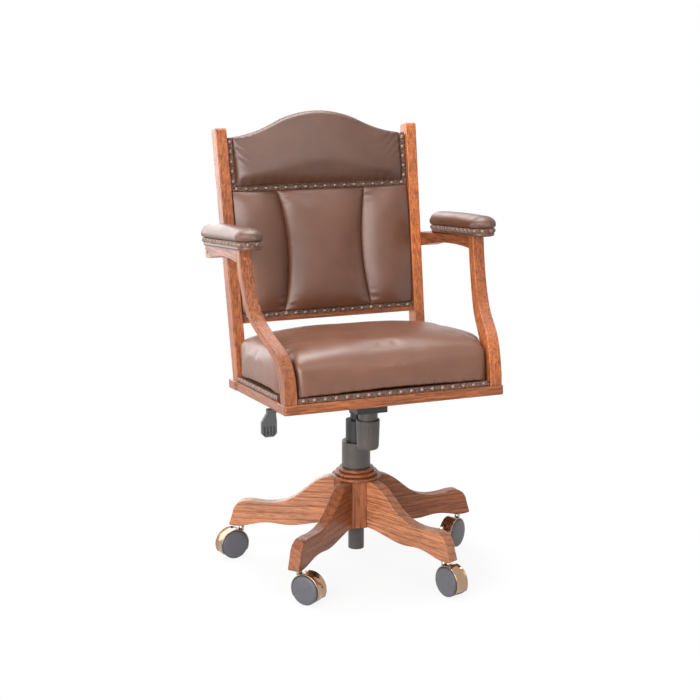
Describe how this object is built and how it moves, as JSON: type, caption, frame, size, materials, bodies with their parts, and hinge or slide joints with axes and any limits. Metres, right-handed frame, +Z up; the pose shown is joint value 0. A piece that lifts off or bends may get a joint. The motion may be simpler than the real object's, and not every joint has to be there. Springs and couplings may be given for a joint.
{
  "type": "bankers swivel chair",
  "caption": "Swivel and tilt desk chair: carved oak frame, studded leather seat, back and arm pads, gas column and a star base on hooded casters.",
  "frame": {"origin": "on the floor, on the axis of the column", "axes": "+Z up, +Y towards the back of the chair, +X to the right of someone facing it"},
  "size_m": [0.6538, 0.672, 1.0747],
  "materials": {
    "oak": "satin lacquer",
    "beech": "matt",
    "plywood": "matt",
    "brown_leather": "semi-gloss",
    "gimp": "woven",
    "antique_brass": "antiqued",
    "grey_column": "satin",
    "black_steel": "satin",
    "zinc_steel": "plated",
    "bright_steel": "polished",
    "spring_steel": "oiled",
    "grey_plastic": "matt",
    "dark_grey_plastic": "matt",
    "black_plastic": "matt",
    "grey_nylon": "satin"
  },
  "bodies": {
    "base": {"hub_core": "oak", "hub_cap": "oak", "leg_left": "oak", "leg_front_left": "oak", "leg_front_right": "oak", "leg_right": "oak", "leg_back": "oak", "leg_dowels": "beech", "bottom_plate": "black_steel", "caster_sockets": "zinc_steel", "base_tube": "grey_column", "column_collar": "grey_column", "guide_bush": "black_plastic", "thrust_bearing": "zinc_steel"},
    "swivel": {"piston_rod": "bright_steel", "retaining_clip": "zinc_steel"},
    "column": {"pressure_tube": "black_steel", "tilt_housing": "black_steel", "pivot_pin": "bright_steel", "tilt_spring": "spring_steel"},
    "button": {"release_button": "bright_steel"},
    "lever": {"lever_rod": "zinc_steel", "lever_paddle": "dark_grey_plastic"},
    "tension_screw": {"tension_bolt": "zinc_steel"},
    "tension_knob": {"tension_knob": "grey_plastic"},
    "seat": {"tilt_plate": "black_steel", "mounting_bolts": "zinc_steel", "seat_cleats": "beech", "front_board": "oak", "back_board": "oak", "side_boards": "oak", "cushion_base": "plywood", "seat_cushion": "brown_leather", "back_post_left": "oak", "back_post_right": "oak", "bottom_rail": "oak", "back_panel": "plywood", "outside_back": "brown_leather", "headrest_cushion": "brown_leather", "lower_back_cushion": "brown_leather", "arm_post_left": "oak", "arm_post_right": "oak", "arm_rail_left": "oak", "arm_rail_right": "oak", "arm_pad_left": "brown_leather", "arm_pad_right": "brown_leather", "arm_pad_boards": "oak", "screw_plugs": "oak", "gimp_strips": "gimp", "tacks": "antique_brass"},
    "caster_left": {"caster_left_body": "antique_brass"},
    "wheels_left": {"caster_left_wheels": "grey_nylon"},
    "caster_front_left": {"caster_front_left_body": "antique_brass"},
    "wheels_front_left": {"caster_front_left_wheels": "grey_nylon"},
    "caster_front_right": {"caster_front_right_body": "antique_brass"},
    "wheels_front_right": {"caster_front_right_wheels": "grey_nylon"},
    "caster_right": {"caster_right_body": "antique_brass"},
    "wheels_right": {"caster_right_wheels": "grey_nylon"},
    "caster_back": {"caster_back_body": "antique_brass"},
    "wheels_back": {"caster_back_wheels": "grey_nylon"}
  },
  "joints": [
    {"name": "swivel", "type": "hinge", "parent": "base", "child": "swivel", "pos_m": [0, 0, 0.2], "axis": [0, 0, 1], "continuous": true},
    {"name": "seat_height", "type": "slide", "parent": "swivel", "child": "column", "axis": [0, 0, 1], "range_m": [0, 0.1]},
    {"name": "tilt", "type": "hinge", "parent": "column", "child": "seat", "pos_m": [0, 0.024, 0.408], "axis": [-1, 0, 0], "range_deg": [0, 10], "stiffness_Nm_per_rad": 200, "springref_deg": -17.19},
    {"name": "release_lever", "type": "hinge", "parent": "column", "child": "lever", "pos_m": [0, -0.02, 0.406], "axis": [-1, 0, 0], "range_deg": [0, 12], "stiffness_Nm_per_rad": 1, "springref_deg": -17.19},
    {"name": "button_press", "type": "slide", "parent": "column", "child": "button", "axis": [0, 0, -1], "range_m": [0, 0.005]},
    {"name": "tension_screw_rise", "type": "slide", "parent": "column", "child": "tension_screw", "axis": [0, 0, 1], "range_m": [0, 0.019], "deforming": ["tilt_spring"]},
    {"name": "tension_knob_turn", "type": "hinge", "parent": "tension_screw", "child": "tension_knob", "pos_m": [0, -0.076, 0.34], "axis": [0, 0, 1], "range_deg": [0, 1080]},
    {"name": "caster_left_swivel", "type": "hinge", "parent": "base", "child": "caster_left", "pos_m": [-0.24745, 0.1446, 0.07], "axis": [0, 0, 1], "continuous": true},
    {"name": "caster_left_roll", "type": "hinge", "parent": "caster_left", "child": "wheels_left", "pos_m": [-0.27293, 0.13941, 0.0345], "axis": [0.1994, -0.9799, 0], "continuous": true},
    {"name": "caster_front_left_swivel", "type": "hinge", "parent": "base", "child": "caster_front_left", "pos_m": [-0.21399, -0.19065, 0.07], "axis": [0, 0, 1], "continuous": true},
    {"name": "caster_front_left_roll", "type": "hinge", "parent": "caster_front_left", "child": "wheels_front_left", "pos_m": [-0.19889, -0.21182, 0.0345], "axis": [0.8141, 0.5807, 0], "continuous": true},
    {"name": "caster_front_right_swivel", "type": "hinge", "parent": "base", "child": "caster_front_right", "pos_m": [0.1152, -0.26243, 0.07], "axis": [0, 0, 1], "continuous": true},
    {"name": "caster_front_right_roll", "type": "hinge", "parent": "caster_front_right", "child": "wheels_front_right", "pos_m": [0.1228, -0.28729, 0.0345], "axis": [0.9563, 0.2924, 0], "continuous": true},
    {"name": "caster_right_swivel", "type": "hinge", "parent": "base", "child": "caster_right", "pos_m": [0.28518, 0.02847, 0.07], "axis": [0, 0, 1], "continuous": true},
    {"name": "caster_right_roll", "type": "hinge", "parent": "caster_right", "child": "wheels_right", "pos_m": [0.26415, 0.01318, 0.0345], "axis": [0.5878, -0.809, 0], "continuous": true},
    {"name": "caster_back_swivel", "type": "hinge", "parent": "base", "child": "caster_back", "pos_m": [0.06105, 0.28002, 0.07], "axis": [0, 0, 1], "continuous": true},
    {"name": "caster_back_roll", "type": "hinge", "parent": "caster_back", "child": "wheels_back", "pos_m": [0.07326, 0.30298, 0.0345], "axis": [-0.8829, 0.4695, 0], "continuous": true}
  ],
  "couplings": [
    {"joint": "button_press", "follows": "release_lever", "m_per_rad": 0.023},
    {"joint": "tension_screw_rise", "follows": "tilt", "m_per_rad": 0.1083}
  ]
}
